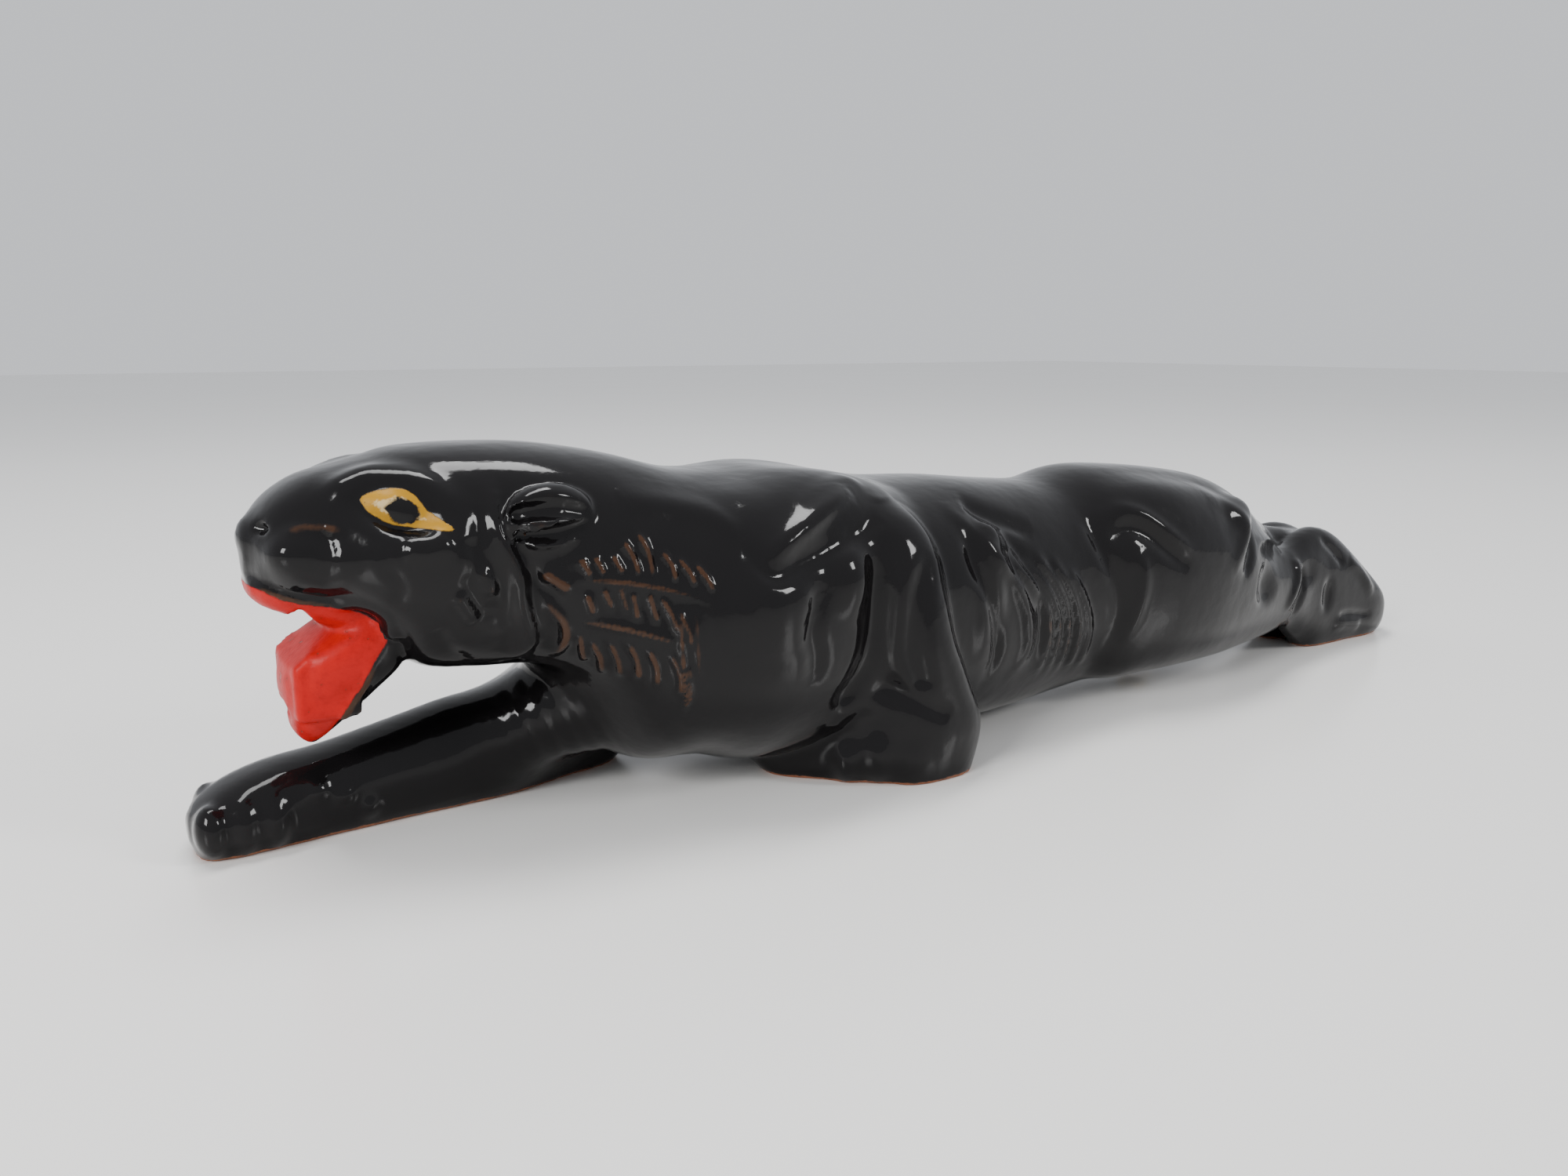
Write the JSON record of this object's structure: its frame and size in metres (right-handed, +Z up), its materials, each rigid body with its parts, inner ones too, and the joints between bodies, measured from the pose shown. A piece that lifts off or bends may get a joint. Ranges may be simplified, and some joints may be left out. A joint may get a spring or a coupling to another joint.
{
  "type": "tv lamp",
  "caption": "Glazed pottery figure of a crawling panther, hollow, with a light window in its far flank, a small screw-in bulb and a rotary switch.",
  "frame": {"origin": "middle of the figure's length and of its overall width with the knob, on the table", "axes": "+X from head to tail, +Y from the displayed flank to the light window, +Z up"},
  "size_m": [0.406, 0.0983, 0.0864],
  "materials": {
    "black_glaze": "gloss glaze over red clay",
    "steel": "zinc plated",
    "brass": "satin",
    "rubber": "matt",
    "phenolic": "moulded brown phenolic",
    "black_phenolic": "moulded black phenolic",
    "bulb_glass": "clear",
    "stem_glass": "clear",
    "black_glass": "gloss black insulator",
    "solder": "dull solder",
    "tungsten": "dark drawn wire",
    "fibre": "red vulcanised fibre",
    "dark_lead": "dark insulated wire",
    "pale_lead": "pale insulated wire",
    "red_cap": "moulded red"
  },
  "bodies": {
    "lamp": {"panther_casting": "black_glaze", "socket_bracket": "steel", "mounting_nipple": "brass", "nipple_nuts": "steel", "steel_washers": "steel", "rubber_washers": "rubber", "socket_body": "phenolic", "socket_shell": "brass", "socket_contact": "brass", "socket_rivets": "steel", "socket_screws": "brass", "switch_body": "black_phenolic", "switch_bushing": "steel", "switch_washer": "fibre", "switch_lock_washer": "steel", "switch_nut": "steel", "switch_screws": "brass", "cord_grommet": "rubber", "lead_line": "dark_lead", "lead_switched": "pale_lead", "lead_neutral": "pale_lead", "wire_nuts": "red_cap"},
    "bulb": {"bulb_glass": "bulb_glass", "bulb_cap": "brass", "bulb_insulator": "black_glass", "bulb_tip": "solder", "bulb_stem": "stem_glass", "bulb_filament": "tungsten"},
    "knob": {"switch_shaft": "steel", "switch_knob": "phenolic", "knob_screw": "steel"}
  },
  "joints": [
    {"name": "bulb_out", "type": "slide", "parent": "lamp", "child": "bulb", "axis": [-1, 0, 0], "range_m": [0, 0.02]},
    {"name": "knob_turn", "type": "hinge", "parent": "lamp", "child": "knob", "pos_m": [-0.08658, 0.04, 0.04203], "axis": [0, 1, 0], "continuous": true}
  ]
}
